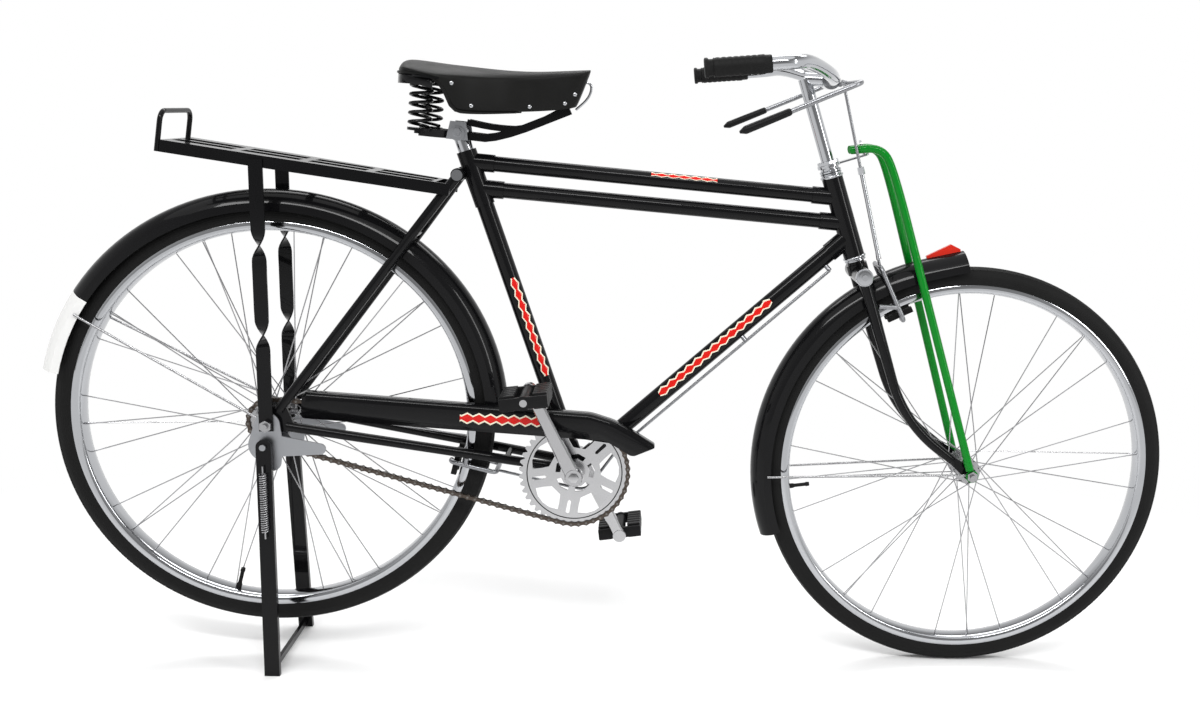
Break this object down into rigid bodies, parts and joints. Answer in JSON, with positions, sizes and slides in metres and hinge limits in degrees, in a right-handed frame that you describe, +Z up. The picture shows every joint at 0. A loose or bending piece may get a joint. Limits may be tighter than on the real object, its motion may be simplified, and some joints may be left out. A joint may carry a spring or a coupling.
{
  "type": "roadster bicycle",
  "caption": "Adult roadster bicycle with a double top tube, rod brakes, mudguards, half chain case, sprung saddle, rear carrier and rear stand, parked on the stand.",
  "frame": {"origin": "middle of the footprint of the parked bicycle, on the floor", "axes": "+X forward, +Y to the rider's left, +Z up"},
  "size_m": [1.8937, 0.558, 1.0441],
  "materials": {
    "black_enamel": "gloss stoved enamel",
    "chrome": "polished plating",
    "bright_steel": "plated wire and turned steel",
    "zinc": "dull zinc plating",
    "tyre_rubber": "matt tread",
    "black_rubber": "moulded",
    "black_hide": "semi-gloss grained cover",
    "black_plastic": "moulded",
    "green_enamel": "gloss enamel",
    "red_plastic": "gloss",
    "chain_steel": "oiled steel",
    "crank_steel": "satin plated"
  },
  "bodies": {
    "frame": {"bottom_bracket": "black_enamel", "carrier_deck": "black_enamel", "carrier_hoop": "black_enamel", "carrier_struts": "black_enamel", "chain": "chain_steel", "chain_case": "black_enamel", "chainstays": "black_enamel", "down_tube": "black_enamel", "head_lugs": "black_enamel", "headset_cups": "chrome", "rear_axle": "bright_steel", "rear_brake": "chrome", "rear_dropouts": "black_enamel", "rear_mudguard": "black_enamel", "rear_mudguard_stays": "bright_steel", "rear_shoes": "black_rubber", "saddle_cantle": "black_enamel", "saddle_clip": "zinc", "saddle_cover": "black_hide", "saddle_frame": "black_enamel", "saddle_springs": "black_enamel", "seat_bolt": "chrome", "seat_lug": "black_enamel", "seat_post": "chrome", "seat_tube": "black_enamel", "seatstays": "black_enamel", "stand_brackets": "zinc", "stay_bridges": "black_enamel", "top_tubes": "black_enamel"},
    "steering": {"fork_crown": "black_enamel", "fork_blades": "black_enamel", "fork_fittings": "chrome", "stem": "chrome", "handlebar": "chrome", "grips": "black_rubber", "brake_levers": "chrome", "lever_sleeves": "black_rubber", "front_brake": "chrome", "front_shoes": "black_rubber", "front_mudguard": "black_enamel", "mudguard_ornament": "red_plastic", "front_mudguard_stays": "bright_steel", "fork_supports": "green_enamel", "front_axle": "bright_steel"},
    "front_wheel": {"front_tyre": "tyre_rubber", "front_rim": "chrome", "front_spokes": "bright_steel", "front_hub": "bright_steel"},
    "rear_wheel": {"rear_tyre": "tyre_rubber", "rear_rim": "chrome", "rear_spokes": "bright_steel", "rear_hub": "bright_steel"},
    "freewheel": {"freewheel": "chain_steel"},
    "crankset": {"cranks": "crank_steel", "chainring": "crank_steel"},
    "left_pedal": {"left_pedal": "black_plastic"},
    "right_pedal": {"right_pedal": "black_plastic"},
    "stand": {"stand_legs": "black_enamel", "stand_bar": "black_enamel", "stand_spring": "bright_steel"}
  },
  "joints": [
    {"name": "steering", "type": "hinge", "parent": "frame", "child": "steering", "pos_m": [0.37398, 0, 0.72025], "axis": [-0.3282, 0, 0.9446], "range_deg": [-60, 60]},
    {"name": "front_wheel_spin", "type": "hinge", "parent": "steering", "child": "front_wheel", "pos_m": [0.59192, 0, 0.355], "axis": [0, 1, 0], "continuous": true},
    {"name": "rear_wheel_spin", "type": "hinge", "parent": "frame", "child": "rear_wheel", "pos_m": [-0.57664, 0, 0.413], "axis": [0, 1, 0], "continuous": true},
    {"name": "crank_spin", "type": "hinge", "parent": "frame", "child": "crankset", "pos_m": [-0.08377, 0, 0.33848], "axis": [0, 1, 0], "continuous": true},
    {"name": "freewheel_spin", "type": "hinge", "parent": "frame", "child": "freewheel", "pos_m": [-0.57664, 0, 0.413], "axis": [0, 1, 0], "continuous": true},
    {"name": "left_pedal_spin", "type": "hinge", "parent": "crankset", "child": "left_pedal", "pos_m": [-0.00758, 0, 0.19212], "axis": [0, 1, 0], "continuous": true},
    {"name": "right_pedal_spin", "type": "hinge", "parent": "crankset", "child": "right_pedal", "pos_m": [-0.15996, 0, 0.48483], "axis": [0, 1, 0], "continuous": true},
    {"name": "stand_swing", "type": "hinge", "parent": "frame", "child": "stand", "pos_m": [-0.57933, 0, 0.37909], "axis": [0, 1, 0], "range_deg": [0, 90]}
  ],
  "couplings": [
    {"joint": "freewheel_spin", "follows": "crank_spin", "ratio": 2.4444}
  ]
}
